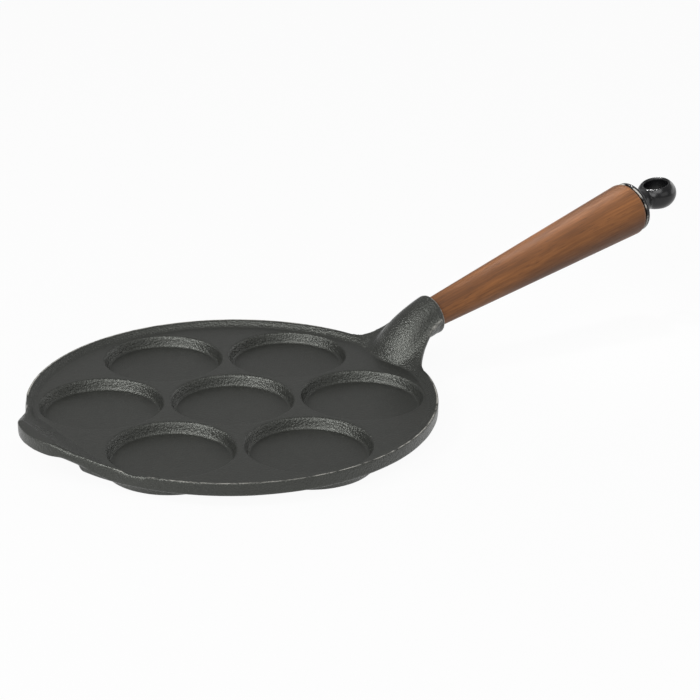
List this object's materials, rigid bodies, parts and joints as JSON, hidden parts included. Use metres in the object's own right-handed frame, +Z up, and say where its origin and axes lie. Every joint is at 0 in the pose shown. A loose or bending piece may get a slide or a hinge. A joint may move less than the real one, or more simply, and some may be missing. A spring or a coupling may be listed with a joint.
{
  "type": "blini pan",
  "caption": "Round cast-iron pan with shallow wells for small pancakes, a raised finger lip, and a tapered wooden handle that ends in a black hanging eye.",
  "frame": {"origin": "on the axis of the pan's middle well, at the plane the pan stands on", "axes": "+Z up along the pan's axis, +X from the pan's centre towards the handle"},
  "size_m": [0.4658, 0.23, 0.0823],
  "materials": {
    "cast_iron": "fine cast skin, matte dark grey",
    "walnut": "satin walnut with lengthwise grain",
    "steel": "plain zinc grey",
    "black_iron": "gloss black"
  },
  "bodies": {
    "root": {"pan_casting": "cast_iron", "handle_grip": "walnut", "tie_rod": "steel", "end_eye": "black_iron"}
  },
  "joints": []
}
